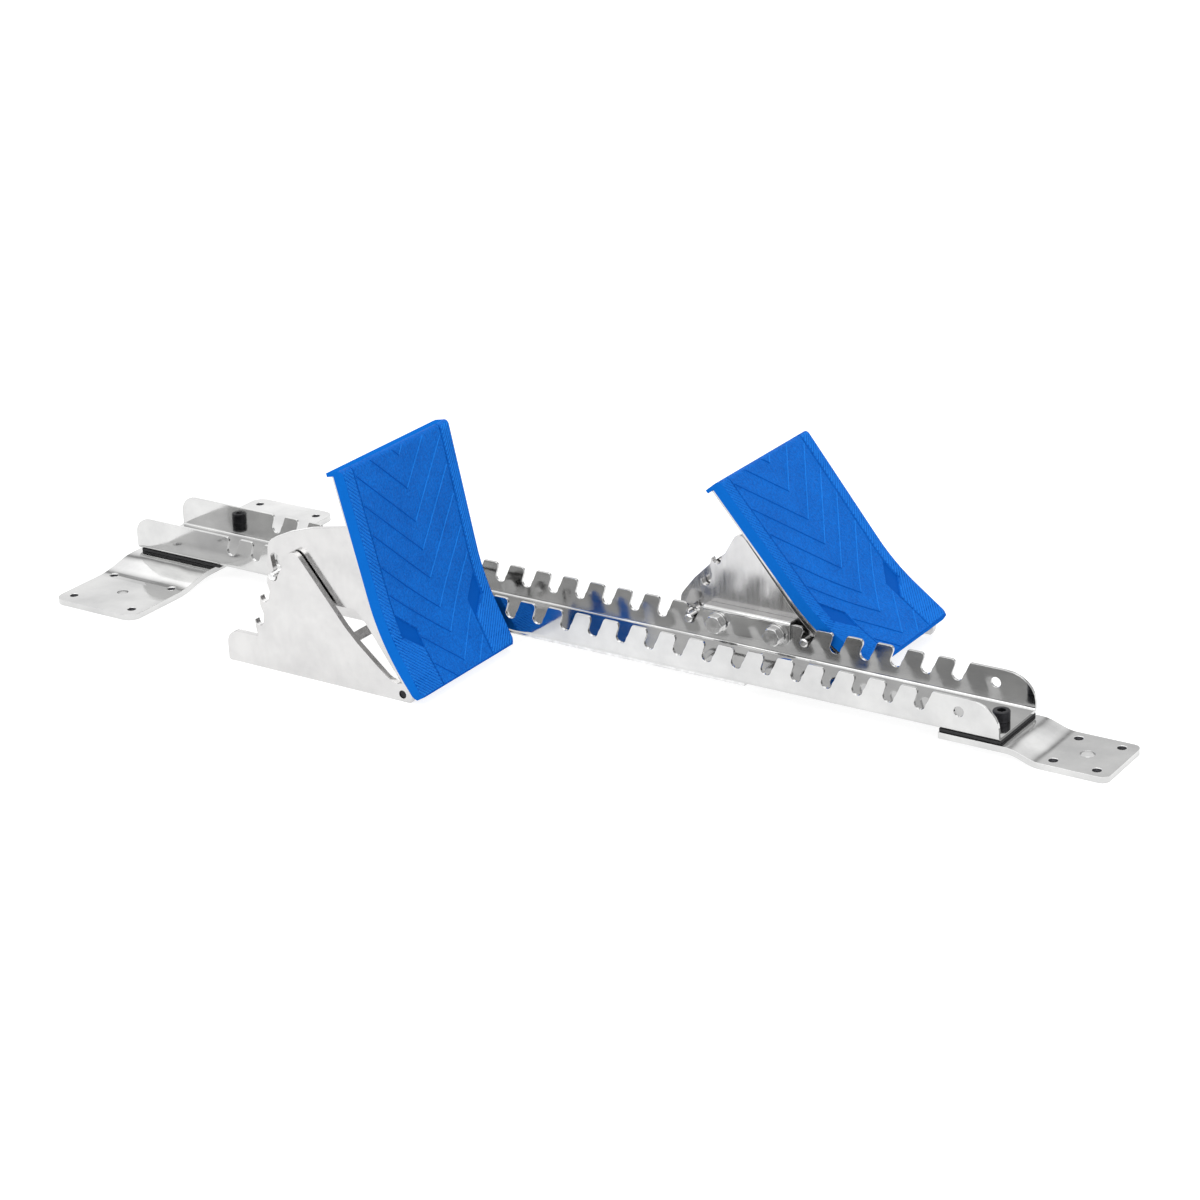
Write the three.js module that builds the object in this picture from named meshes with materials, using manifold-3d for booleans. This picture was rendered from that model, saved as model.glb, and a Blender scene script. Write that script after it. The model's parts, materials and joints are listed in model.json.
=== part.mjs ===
// Track starting blocks: a notched steel rail on two ground anchors, and two pedal units that
// drop into its notches. Each pedal tilts on a hinge near the ground, and a loose angle pin in
// the slots of its arms drops into hooks on the side plates.
// Millimetres, +Z up, +X towards the runner's start line, Y = 0 on the rail's centre line.

import * as THREE from 'three';
import { mergeVertices } from 'three/addons/utils/BufferGeometryUtils.js';
import Module from 'manifold-3d';

const wasm = await Module();
wasm.setup();

// General clearances
const faceGap = 0.1;
const seatGap = 0.3;
const boreGap = 0.25;
const overrun = 5;
const arcStep = THREE.MathUtils.degToRad(15);

// Rail: a folded U-channel with a row of notches on each flange
const notchPitch = 25.4;
const notchCount = 26;
const notchDepth = 16;
const notchBowlRadius = 4.6;
const notchBowlSetback = 0.6;
const railWidth = 61.2;
const railHeight = 28;
const railWall = 2.5;
const railBend = 4;
const railTail = 103.4;
const railNose = 62.4;
const railTailRadius = 14;
const railNoseLength = 24.4;
const railNoseDrop = 19.9;
const railEyeDiameter = 8;
const railEyeAhead = 30.5;
const railEyeHeight = 17;

// Notch walls from the bowl up, as shares of the pitch ahead of the notch and of its depth
const notchFrontShares = [[0.172, 0.33], [0.24, 0.5], [0.365, 0.95], [0.392, 1]];
const notchRearShares = [[-0.196, 0.33], [-0.105, 0.76], [-0.108, 0.89], [-0.145, 0.975], [-0.2, 1]];

// Ground anchors and what lies between them and the rail
const anchorThickness = 4.9;
const anchorRise = 6.3;
const rearAnchorLength = 85;
const rearAnchorSpan = 265;
const rearAnchorOverhang = 3.4;
const rearAnchorCorner = 10;
const rearAnchorBendInner = 33;
const rearAnchorBendOuter = 76.2;
const frontAnchorWidth = 61;
const frontAnchorLap = 48.3;
const frontAnchorReach = 82.6;
const frontAnchorBend = 27;
const frontAnchorFlat = 51;
const frontAnchorCorner = 6.4;
const packingThickness = 2.5;
const spikeHoleDiameter = 3.6;
const spikeSinkDiameter = 7.7;
const rearSpikeSpacingX = 62.3;
const rearSpikeSpacingY = 48.8;
const rearSpikeCentre = 95.5;
const rearPegDiameter = 9;
const frontSpikeSpacingX = 33.3;
const frontSpikeSpacingY = 41.8;
const frontSpikeSetback = 28.4;
const frontPegDiameter = 11;
const stripThickness = 4;
const stripWidth = 50;
const stripCorner = 1.5;
const stripLength = 376;

// Anchor screws
const screwDiameter = 8;
const screwHeadDiameter = 13;
const screwHeadHeight = 8;
const screwSocket = 6;
const screwSocketDepth = 4;
const thinNutFlats = 13;
const thinNutHeight = 4.3;
const frontScrewSetback = 13.2;

// Pedal unit: side plates with angle hooks
const hingeHeight = 5.8;
const hingePastNotch = 10.04;
const rearUnitNotch = 10;
const frontUnitNotch = 21;
const plateThickness = 5;
const outerPlateFace = 152.7;
const innerPlateFace = 35.9;
const bossRadius = 9;
const tabTop = 19.7;
const tabLength = 30.9;
const tabCorner = 11;
const footCorner = 2;
const shoulderBehind = 13.5;
const shoulderAbove = 10.9;
const waistBehind = 46;
const waistAbove = 38.5;
const waistRadius = 90;
const shoulderRadius = 12;
const crownAlong = 138;
const crownGap = 4.4;
const crownRadius = 10;
const peakAhead = 18.3;
const peakAbove = 24.9;
const peakRadius = 6;

// Angle pin, its seat at the steepest hook and the hooks below it
const anglePinDiameter = 7;
const anglePinOverhang = 2.2;
const hookOrbit = 138.4;
const hookTopAngle = THREE.MathUtils.degToRad(31.9);
const hookStep = THREE.MathUtils.degToRad(9);
const hookCount = 3;
const hookGap = 0.4;
const hookLip = 1;
const hookLipRise = 0.4;
const hookBackOrbit = 140.6;
const hookBackDrop = THREE.MathUtils.degToRad(3.5);
const hookThroatOrbit = 135.7;
const hookThroatDrop = THREE.MathUtils.degToRad(5.8);
const footOrbit = 138.9;

// Hinge and tie bar
const hingePinDiameter = 6;
const hingePinRecess = 1;
const tieBarWidth = 8;
const tieBarThickness = 3;
const tieBarBehind = 66.5;
const tieBarAbove = 21.5;
const tieBarTilt = THREE.MathUtils.degToRad(48);

// Slider bracket over the rail, its bolts and the lock pins
const bracketThickness = 2;
const bracketBend = 3;
const bracketLength = 76;
const bracketLegCorner = 7;
const bracketLegDrop = 17.5;
const bracketNotch = 3;
const boltNotches = [4, 2];
const lockPinNotches = [5, 1];
const boltRise = 6.35;
const boltShank = 7.6;
const boltFlats = 13;
const boltHeadHeight = 5.3;
const washerDiameter = 17;
const washerThickness = 1.6;
const lockPinDiameter = 7;
const lockPinChamfer = 1;
const lockPinReach = 11.5;

// Pedal: profile up the rubber's back from its foot, and its outline across
const pedalFootAhead = 13.7;
const pedalFootDrop = 1.7;
const pedalLowLength = 34.4;
const pedalBendLength = 49.8;
const pedalTopLength = 100.3;
const pedalLowSlope = THREE.MathUtils.degToRad(61.4);
const pedalTopSlope = THREE.MathUtils.degToRad(76.7);
const pedalCentre = 95.3;
const pedalTopWidth = 135.8;
const pedalFootWidth = 125.2;
const pedalToeCut = 4.5;
const pedalToeLength = 5;
const pedalToePower = 1.6;
const rubberThickness = 8;
const rubberToeThickness = 6.2;
const rubberToeTaper = 28;
const rubberSideBevel = 2;
const rubberTopRound = 4;
const lipDepth = 6;
const lipThickness = 3;
const backPlateThickness = 3;
const backPlateInset = 2;
const backPlateFoot = 13.5;
const frontPedalBack = THREE.MathUtils.degToRad(26.4);

// Arms: corners behind and above the hinge with the pedal at its steepest hook
const armThickness = 5;
const armPlateGap = 1.3;
const armLugRadius = 5.3;
const armReach = 127.3;
const armRise = 128;
const armFootAlong = 6;
const armTopAlong = 137;
const armCornerRadius = 5;
const armHeelRadius = 12;
const slotTopOrbit = 147.3;
const slotGap = 0.4;

// Arm corners from the back plate round to the hinge, as shares of armReach and armRise
const armTopShares = [[0.649, 0.907], [0.816, 0.853]];
const armHeelShares = [0.985, 0.775];
const armTailShares = [[1, 0.6], [0.958, 0.5], [0.878, 0.447]];
const armBellyShares = [[0.356, 0.448], [0.288, 0.385]];

// Rubber's side from its back to its face, as shares of its bevel and its thickness
const rubberSideShares = [[0, 0], [0.3, 0.5], [0.5, 0.86], [1, 1]];

// Derived places
const overallLength = rearAnchorOverhang + railTail + (notchCount - 1) * notchPitch + railNose
  + frontAnchorReach;
const railRearX = rearAnchorOverhang - overallLength / 2;
const firstNotchX = railRearX + railTail;
const railFrontX = firstNotchX + (notchCount - 1) * notchPitch + railNose;
const anchorTop = anchorThickness + anchorRise;
const railBottom = anchorTop + packingThickness;
const railTop = railBottom + railHeight;
const notchBottom = railTop - notchDepth;
const railInside = railWidth / 2 - railWall;
const rearScrewX = railRearX - rearAnchorOverhang + rearAnchorLength / 2;
const frontScrewX = railFrontX - frontScrewSetback;
const pedalLength = pedalLowLength + pedalBendLength + pedalTopLength;
const anglePinRadius = anglePinDiameter / 2;
const armOuterFace = outerPlateFace - plateThickness - armPlateGap;
const armInnerFace = innerPlateFace + plateThickness + armPlateGap;

// Finishes
const zinc = new THREE.MeshStandardMaterial({ color: 0xcfd0d2, roughness: 0.18, metalness: 1 });
const satin = new THREE.MeshStandardMaterial({ color: 0xe3e3e2, roughness: 0.4, metalness: 0.8 });
const steel = new THREE.MeshStandardMaterial({ color: 0xb4b6b8, roughness: 0.3, metalness: 1 });
const blackSteel = new THREE.MeshStandardMaterial({ color: 0x16171a, roughness: 0.45, metalness: 0.6 });
const blackRubber = new THREE.MeshStandardMaterial({ color: 0x111214, roughness: 0.8, metalness: 0 });
const blueRubber = new THREE.MeshStandardMaterial({ color: 0x1763c6, roughness: 0.6, metalness: 0 });

// Volume that a triangle mesh encloses, negative where its faces point inwards
function signedVolume(positions, triangles) {
  const [a, b, c] = [new THREE.Vector3(), new THREE.Vector3(), new THREE.Vector3()];
  return triangles.reduce((total, [i, j, k]) => {
    a.fromArray(positions, 3 * i);
    b.fromArray(positions, 3 * j);
    c.fromArray(positions, 3 * k);
    return total + a.dot(b.cross(c)) / 6;
  }, 0);
}

// Closed geometry to a solid for joining and cutting, and back
function toSolid(geometry) {
  const bare = geometry.clone();
  bare.deleteAttribute('normal');
  bare.deleteAttribute('uv');
  const merged = mergeVertices(bare);
  const positions = merged.attributes.position.array;
  let triangles = [];
  for (let i = 0; i < merged.index.count; i += 3) {
    triangles.push([merged.index.getX(i), merged.index.getX(i + 1), merged.index.getX(i + 2)]);
  }
  triangles = triangles.filter(([i, j, k]) => i !== j && j !== k && k !== i);
  if (signedVolume(positions, triangles) < 0) triangles = triangles.map(([i, j, k]) => [i, k, j]);
  return new wasm.Manifold(new wasm.Mesh({
    numProp: 3,
    vertProperties: new Float32Array(positions),
    triVerts: new Uint32Array(triangles.flat()),
  }));
}

function toGeometry(solid) {
  const mesh = solid.getMesh();
  const geometry = new THREE.BufferGeometry();
  geometry.setAttribute('position', new THREE.BufferAttribute(new Float32Array(mesh.vertProperties), 3));
  geometry.setIndex(new THREE.BufferAttribute(new Uint32Array(mesh.triVerts), 1));
  return geometry;
}

// Points on a circular or elliptical arc, ends included
function arc(centreX, centreY, radiusX, radiusY, from, to, step = arcStep) {
  const count = Math.max(1, Math.ceil(Math.abs(to - from) / step));
  const points = [];
  for (let i = 0; i <= count; i += 1) {
    const angle = from + (to - from) * i / count;
    points.push([centreX + radiusX * Math.cos(angle), centreY + radiusY * Math.sin(angle)]);
  }
  return points;
}

// A polygon whose corners [x, y, radius] are rounded where a radius is given
function rounded(corners) {
  const points = [];
  corners.forEach(([x, y, radius = 0], i) => {
    const at = new THREE.Vector2(x, y);
    if (radius === 0) {
      points.push([x, y]);
      return;
    }
    const before = corners[(i + corners.length - 1) % corners.length];
    const after = corners[(i + 1) % corners.length];
    const toBefore = new THREE.Vector2(before[0], before[1]).sub(at).normalize();
    const toAfter = new THREE.Vector2(after[0], after[1]).sub(at).normalize();
    const half = Math.acos(THREE.MathUtils.clamp(toBefore.dot(toAfter), -1, 1)) / 2;
    const bisector = toBefore.clone().add(toAfter).normalize();
    const centre = at.clone().add(bisector.multiplyScalar(radius / Math.sin(half)));
    const start = at.clone().add(toBefore.multiplyScalar(radius / Math.tan(half))).sub(centre);
    const end = at.clone().add(toAfter.multiplyScalar(radius / Math.tan(half))).sub(centre);
    let sweep = end.angle() - start.angle();
    if (sweep > Math.PI) sweep -= 2 * Math.PI;
    if (sweep < -Math.PI) sweep += 2 * Math.PI;
    points.push(...arc(centre.x, centre.y, radius, radius, start.angle(), start.angle() + sweep));
  });
  return points;
}

function shapeOf(points, holes = []) {
  const shape = new THREE.Shape(points.map(([x, y]) => new THREE.Vector2(x, y)));
  shape.holes = holes.map((hole) => new THREE.Path(hole.map(([x, y]) => new THREE.Vector2(x, y))));
  return shape;
}

function circle(x, y, radius, step = arcStep) {
  return arc(x, y, radius, radius, 0, 2 * Math.PI, step).slice(0, -1);
}

const axisX = new THREE.Vector3(1, 0, 0);
const axisY = new THREE.Vector3(0, 1, 0);
const axisZ = new THREE.Vector3(0, 0, 1);

// An outline in X and Z, thick from yLow to yHigh
function plate(points, yLow, yHigh, holes = []) {
  const geometry = new THREE.ExtrudeGeometry(shapeOf(points, holes), {
    depth: yHigh - yLow, bevelEnabled: false, steps: 1,
  });
  geometry.applyMatrix4(new THREE.Matrix4().makeBasis(axisX, axisZ, axisY.clone().negate()));
  return geometry.translate(0, yHigh, 0);
}

// A section in Y and Z, long from xLow to xHigh
function profile(points, xLow, xHigh) {
  const geometry = new THREE.ExtrudeGeometry(shapeOf(points), {
    depth: xHigh - xLow, bevelEnabled: false, steps: 1,
  });
  geometry.applyMatrix4(new THREE.Matrix4().makeBasis(axisY, axisZ, axisX));
  return geometry.translate(xLow, 0, 0);
}

// A plan outline in X and Y, thick from zLow to zHigh
function slab(points, zLow, zHigh, holes = []) {
  return new THREE.ExtrudeGeometry(shapeOf(points, holes), {
    depth: zHigh - zLow, bevelEnabled: false, steps: 1,
  }).translate(0, 0, zLow);
}

// Round bars across the object and upright
function barY(x, z, radius, yLow, yHigh, sides = 20) {
  return new THREE.CylinderGeometry(radius, radius, yHigh - yLow, sides)
    .translate(x, (yLow + yHigh) / 2, z);
}

function barZ(x, y, radius, zLow, zHigh, sides = 20) {
  return new THREE.CylinderGeometry(radius, radius, zHigh - zLow, sides)
    .rotateX(Math.PI / 2)
    .translate(x, y, (zLow + zHigh) / 2);
}

function rectangle(xLow, yLow, xHigh, yHigh, radius = 0) {
  return rounded([[xLow, yLow, radius], [xHigh, yLow, radius], [xHigh, yHigh, radius], [xLow, yHigh, radius]]);
}

function hexagon(flats) {
  return arc(0, 0, flats / Math.sqrt(3), flats / Math.sqrt(3), 0, 2 * Math.PI, Math.PI / 3).slice(0, -1);
}

// Rail: the flanges' side outline with its notches, met by the folded U section
function notchOutline(x) {
  const front = notchFrontShares.map(([along, up]) => [x + along * notchPitch, notchBottom + up * notchDepth]);
  const rear = notchRearShares.map(([along, up]) => [x + along * notchPitch, notchBottom + up * notchDepth]);
  const bowl = arc(x - notchBowlSetback, notchBottom + notchBowlRadius, notchBowlRadius, notchBowlRadius,
    -arcStep / 2, arcStep / 2 - Math.PI, 2 * arcStep);
  return [...front.reverse(), ...bowl, ...rear];
}

function railSideOutline() {
  const points = [[railRearX, railBottom - overrun], [railFrontX, railBottom - overrun]];
  points.push(...arc(railFrontX - railNoseLength, railTop - railNoseDrop, railNoseLength, railNoseDrop,
    0, Math.PI / 2));
  for (let i = notchCount - 1; i >= 0; i -= 1) points.push(...notchOutline(firstNotchX + i * notchPitch));
  points.push(...arc(railRearX + railTailRadius, railTop - railTailRadius, railTailRadius, railTailRadius,
    Math.PI / 2, Math.PI));
  return points;
}

function railSection() {
  const half = railWidth / 2;
  const floor = railBottom + railWall;
  return rounded([
    [-half, railBottom, railBend], [half, railBottom, railBend],
    [half, railTop + overrun], [railInside, railTop + overrun],
    [railInside, floor, railBend - railWall], [-railInside, floor, railBend - railWall],
    [-railInside, railTop + overrun], [-half, railTop + overrun],
  ]);
}

function makeRail() {
  const side = toSolid(plate(railSideOutline(), -railWidth, railWidth));
  const channel = toSolid(profile(railSection(), railRearX - overrun, railFrontX + overrun));
  const eyeX = firstNotchX + (notchCount - 1) * notchPitch + railEyeAhead;
  const eye = toSolid(barY(eyeX, railBottom + railEyeHeight, railEyeDiameter / 2, -railWidth, railWidth));
  let rail = side.intersect(channel).subtract(eye);
  for (const x of [rearScrewX, frontScrewX]) {
    rail = rail.subtract(toSolid(barZ(x, 0, screwDiameter / 2 + boreGap, 0, railBottom + railWall + overrun)));
  }
  return toGeometry(rail);
}

// Anchor plates: a plan outline met by the cranked section
function crank(from, to, steps = 8) {
  const points = [];
  for (let i = 0; i <= steps; i += 1) {
    const along = i / steps;
    const lift = anchorRise * (1 - Math.cos(Math.PI * along)) / 2;
    points.push([from + (to - from) * along, lift]);
  }
  return points;
}

function sunkHole(x, y) {
  const hole = spikeHoleDiameter / 2;
  const sink = spikeSinkDiameter / 2;
  const depth = sink - hole;
  const outline = [[0, -overrun], [hole, -overrun], [hole, anchorThickness - depth],
    [sink, anchorThickness], [sink, anchorThickness + overrun], [0, anchorThickness + overrun]];
  return new THREE.LatheGeometry(outline.map(([r, z]) => new THREE.Vector2(r, z)), 12)
    .rotateX(Math.PI / 2)
    .translate(x, y, 0);
}

function cutHoles(solid, holes) {
  return holes.reduce((left, hole) => left.subtract(toSolid(hole)), solid);
}

function makeRearAnchor() {
  const low = railRearX - rearAnchorOverhang;
  const high = low + rearAnchorLength;
  const half = rearAnchorSpan / 2;
  const rise = [[-half, 0], ...crank(-rearAnchorBendOuter, -rearAnchorBendInner)];
  const fall = crank(rearAnchorBendOuter, rearAnchorBendInner).reverse();
  const top = [...rise, ...fall, [half, 0]];
  const section = [...top.map(([y, z]) => [y, z]), ...top.map(([y, z]) => [y, z + anchorThickness]).reverse()];
  const plan = toSolid(slab(rectangle(low, -half, high, half, rearAnchorCorner), -overrun, anchorTop + overrun));
  const holes = [barZ(rearScrewX, 0, screwDiameter / 2 + boreGap, -overrun, anchorTop + overrun)];
  for (const side of [-1, 1]) {
    holes.push(barZ(rearScrewX, side * rearSpikeCentre, rearPegDiameter / 2, -overrun, anchorTop));
    for (const alongX of [-1, 1]) {
      for (const alongY of [-1, 1]) {
        holes.push(sunkHole(rearScrewX + alongX * rearSpikeSpacingX / 2,
          side * rearSpikeCentre + alongY * rearSpikeSpacingY / 2));
      }
    }
  }
  return toGeometry(cutHoles(plan.intersect(toSolid(profile(section, low, high))), holes));
}

function makeFrontAnchor() {
  const low = railFrontX - frontAnchorLap;
  const high = railFrontX + frontAnchorReach;
  const half = frontAnchorWidth / 2;
  const flatFrom = high - frontAnchorFlat;
  const line = [[low, anchorRise], ...crank(flatFrom, flatFrom - frontAnchorBend).reverse(), [high, 0]];
  const section = [...line, ...line.map(([x, z]) => [x, z + anchorThickness]).reverse()];
  const corners = rounded([[low, -half], [high, -half, frontAnchorCorner],
    [high, half, frontAnchorCorner], [low, half]]);
  const plan = toSolid(slab(corners, -overrun, anchorTop + overrun));
  const middle = high - frontSpikeSetback;
  const holes = [
    barZ(frontScrewX, 0, screwDiameter / 2 + boreGap, -overrun, anchorTop + overrun),
    barZ(middle, 0, frontPegDiameter / 2, -overrun, anchorTop),
  ];
  for (const alongX of [-1, 1]) {
    for (const alongY of [-1, 1]) {
      holes.push(sunkHole(middle + alongX * frontSpikeSpacingX / 2, alongY * frontSpikeSpacingY / 2));
    }
  }
  return toGeometry(cutHoles(plan.intersect(toSolid(plate(section, -half, half))), holes));
}

// Packing pads and the strip under the rail's middle
function makePacking(xLow, xHigh, screwX) {
  const half = railWidth / 2 - railBend / 2;
  const hole = circle(screwX, 0, screwDiameter / 2 + boreGap);
  return slab(rectangle(xLow, -half, xHigh, half), anchorTop + faceGap, railBottom - faceGap, [hole]);
}

function makeStrip() {
  const middle = (railRearX + railFrontX) / 2;
  const section = rounded([
    [-stripWidth / 2, railBottom - faceGap - stripThickness, stripCorner],
    [stripWidth / 2, railBottom - faceGap - stripThickness, stripCorner],
    [stripWidth / 2, railBottom - faceGap], [-stripWidth / 2, railBottom - faceGap],
  ]);
  return profile(section, middle - stripLength / 2, middle + stripLength / 2);
}

// Anchor screws and their nuts
function makeScrew(x) {
  const seat = railBottom + railWall + faceGap;
  const radius = screwHeadDiameter / 2;
  const chamfer = radius - screwSocket;
  const end = anchorRise - thinNutHeight - faceGap;
  const outline = [[0, end], [screwDiameter / 2, end], [screwDiameter / 2, seat], [radius, seat],
    [radius, seat + screwHeadHeight - chamfer], [radius - chamfer, seat + screwHeadHeight],
    [0, seat + screwHeadHeight]];
  const body = new THREE.LatheGeometry(outline.map(([r, z]) => new THREE.Vector2(r, z)), 20).rotateX(Math.PI / 2);
  const socket = slab(hexagon(screwSocket), seat + screwHeadHeight - screwSocketDepth,
    seat + screwHeadHeight + overrun);
  return toGeometry(toSolid(body).subtract(toSolid(socket))).translate(x, 0, 0);
}

function makeThinNut(x) {
  const hole = circle(0, 0, screwDiameter / 2 + boreGap);
  return slab(hexagon(thinNutFlats), anchorRise - faceGap - thinNutHeight, anchorRise - faceGap, [hole])
    .translate(x, 0, 0);
}

// Side plates, drawn about the hinge at X = Z = 0
function hookCentre(index) {
  const angle = hookTopAngle - index * hookStep;
  return [-hookOrbit * Math.cos(angle), hookOrbit * Math.sin(angle)];
}

function behind(orbit, angle) {
  return [-orbit * Math.cos(angle), orbit * Math.sin(angle)];
}

function hookOutline() {
  const radius = anglePinRadius + hookGap;
  const points = [];
  for (let i = 0; i < hookCount; i += 1) {
    const [x, z] = hookCentre(i);
    const angle = hookTopAngle - i * hookStep;
    points.push(...arc(x, z, radius, radius, 0, -Math.PI, 2 * arcStep));
    points.push([x - radius, z + hookLipRise], [x - radius - hookLip, z + hookLipRise]);
    points.push(behind(hookBackOrbit, angle - hookBackDrop));
    if (i < hookCount - 1) points.push(behind(hookThroatOrbit, angle - hookThroatDrop));
  }
  return points;
}

// Crown of a side plate: just behind the back plate of a pedal at its lowest
function crownPlace() {
  const [x, z] = pedalPoint(crownAlong, -seatGap - backPlateThickness - crownGap);
  const [lean, rise] = [Math.cos(frontPedalBack), Math.sin(frontPedalBack)];
  return [x * lean - z * rise, x * rise + z * lean];
}

function sidePlateOutline() {
  const low = -hingeHeight;
  const bossFront = Math.sqrt(bossRadius ** 2 - hingeHeight ** 2);
  const foot = -Math.sqrt(footOrbit ** 2 - tabTop ** 2);
  const boss = arc(0, 0, bossRadius, bossRadius, -Math.asin(hingeHeight / bossRadius), Math.PI * 2 / 3);
  const upper = rounded([
    boss[boss.length - 1],
    [-shoulderBehind, shoulderAbove, shoulderRadius],
    [-waistBehind, waistAbove, waistRadius],
    [...crownPlace(), crownRadius],
    [hookCentre(0)[0] + peakAhead, hookCentre(0)[1] + peakAbove, peakRadius],
    hookOutline()[0],
  ]);
  const tab = rounded([
    [foot, tabTop + footCorner], [foot, tabTop, footCorner / 2],
    [foot - tabLength, tabTop, tabCorner], [foot - tabLength, low, footCorner], [bossFront, low],
  ]);
  return [...boss.slice(0, -1), ...upper.slice(0, -1), ...hookOutline(), ...tab.slice(0, -1)];
}

// Place of a notch behind the hinge, in the unit's own frame
function notchPlace(notches, rise) {
  return [-hingePastNotch - notches * notchPitch, notchBottom + rise - hingeHeight];
}

function makeOuterPlate() {
  const hinge = circle(0, 0, hingePinDiameter / 2 + boreGap);
  return plate(sidePlateOutline(), outerPlateFace - plateThickness, outerPlateFace, [hinge]);
}

function makeInnerPlate() {
  const holes = boltNotches.map((notches) => circle(...notchPlace(notches, boltRise), boltShank / 2 + boreGap));
  holes.push(circle(0, 0, hingePinDiameter / 2 + boreGap));
  return plate(sidePlateOutline(), innerPlateFace, innerPlateFace + plateThickness, holes);
}

function makeTieBar() {
  const low = innerPlateFace + plateThickness + seatGap;
  const high = outerPlateFace - plateThickness - seatGap;
  return new THREE.BoxGeometry(tieBarWidth, high - low, tieBarThickness)
    .rotateY(tieBarTilt)
    .translate(-tieBarBehind, (low + high) / 2, tieBarAbove);
}

// A turned piece whose axis runs along Y, from points [radius, y]
function turned(outline, x, z, sides = 20) {
  const points = outline.map(([radius, y]) => new THREE.Vector2(radius, y));
  return new THREE.LatheGeometry(points, sides).translate(x, 0, z);
}

function pin(x, z, radius, yLow, yHigh, chamfer) {
  return turned([[0, yLow], [radius - chamfer, yLow], [radius, yLow + chamfer],
    [radius, yHigh - chamfer], [radius - chamfer, yHigh], [0, yHigh]], x, z);
}

// Slider bracket: a ledge over the teeth and a leg inside the channel
const legOuter = railInside - seatGap;
const legInner = legOuter - bracketThickness;
const ledgeLow = railTop + seatGap - hingeHeight;
const ledgeTop = ledgeLow + bracketThickness;

function makeBracket() {
  const [middle] = notchPlace(bracketNotch, 0);
  const low = middle - bracketLength / 2;
  const high = middle + bracketLength / 2;
  const bottom = railTop - bracketLegDrop - hingeHeight;
  const section = rounded([
    [legInner, bottom], [legOuter, bottom], [legOuter, ledgeLow, bracketBend - bracketThickness],
    [innerPlateFace - seatGap, ledgeLow], [innerPlateFace - seatGap, ledgeTop],
    [legInner, ledgeTop, bracketBend],
  ]);
  const side = rounded([
    [low, bottom, bracketLegCorner], [high, bottom, bracketLegCorner],
    [high, ledgeTop + overrun], [low, ledgeTop + overrun],
  ]);
  const bent = toSolid(profile(section, low, high)).intersect(toSolid(plate(side, 0, innerPlateFace)));
  const holes = boltNotches.map((notches) => {
    const [x, z] = notchPlace(notches, boltRise);
    return barY(x, z, boltShank / 2 + boreGap, 0, innerPlateFace);
  });
  return toGeometry(cutHoles(bent, holes));
}

function makeWasher(notches) {
  const [x, z] = notchPlace(notches, boltRise);
  const high = legInner - faceGap;
  return plate(circle(x, z, washerDiameter / 2), high - washerThickness, high,
    [circle(x, z, boltShank / 2 + boreGap)]);
}

function makeBolt(notches) {
  const [x, z] = notchPlace(notches, boltRise);
  const high = legInner - 2 * faceGap - washerThickness;
  const low = high - boltHeadHeight;
  const corner = boltFlats / Math.sqrt(3);
  const chamfer = corner - boltFlats / 2;
  const head = toSolid(plate(hexagon(boltFlats).map(([a, b]) => [a + x, b + z]), low, high));
  const dome = toSolid(turned([[0, low], [corner - chamfer, low], [corner + chamfer, low + chamfer],
    [corner + chamfer, high], [0, high]], x, z));
  const shank = barY(x, z, boltShank / 2, high - boltHeadHeight / 2,
    innerPlateFace + plateThickness - seatGap);
  return toGeometry(head.intersect(dome).add(toSolid(shank)));
}

function makeLockPin(notches) {
  const [x, z] = notchPlace(notches, notchBowlRadius);
  return pin(x - notchBowlSetback, z, lockPinDiameter / 2,
    innerPlateFace - lockPinReach, innerPlateFace - seatGap, lockPinChamfer);
}

// Pedal: the line where its rubber meets the back plate, at a distance up from the foot
function pedalSlope(up) {
  const share = THREE.MathUtils.clamp((up - pedalLowLength) / pedalBendLength, 0, 1);
  return pedalLowSlope + (pedalTopSlope - pedalLowSlope) * share;
}

function pedalPoint(up, depth) {
  const slope = pedalSlope(up);
  const bend = pedalBendLength / (pedalTopSlope - pedalLowSlope);
  const low = Math.min(up, pedalLowLength);
  const top = Math.max(up - pedalLowLength - pedalBendLength, 0);
  const x = pedalFootAhead - low * Math.cos(pedalLowSlope)
    - bend * (Math.sin(slope) - Math.sin(pedalLowSlope)) - top * Math.cos(pedalTopSlope);
  const z = -pedalFootDrop + low * Math.sin(pedalLowSlope)
    + bend * (Math.cos(pedalLowSlope) - Math.cos(slope)) + top * Math.sin(pedalTopSlope);
  return [x + depth * Math.sin(slope), z + depth * Math.cos(slope)];
}

function pedalHalfWidth(up) {
  const straight = pedalFootWidth + (pedalTopWidth - pedalFootWidth) * up / pedalLength;
  const toe = Math.max(1 - up / pedalToeLength, 0);
  return straight / 2 - pedalToeCut * toe ** pedalToePower;
}

// Distances up the pedal, closer together in the bend and near the toe
function pedalSteps(from, to) {
  const bendEnd = pedalLowLength + pedalBendLength;
  const marks = [from, pedalToeLength / 3, pedalToeLength * 2 / 3, pedalToeLength, rubberToeTaper,
    pedalLowLength, pedalLowLength + pedalBendLength / 4, pedalLowLength + pedalBendLength / 2,
    bendEnd - pedalBendLength / 4, bendEnd, to];
  return [...new Set(marks)].filter((up) => up >= from && up <= to).sort((a, b) => a - b);
}

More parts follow.
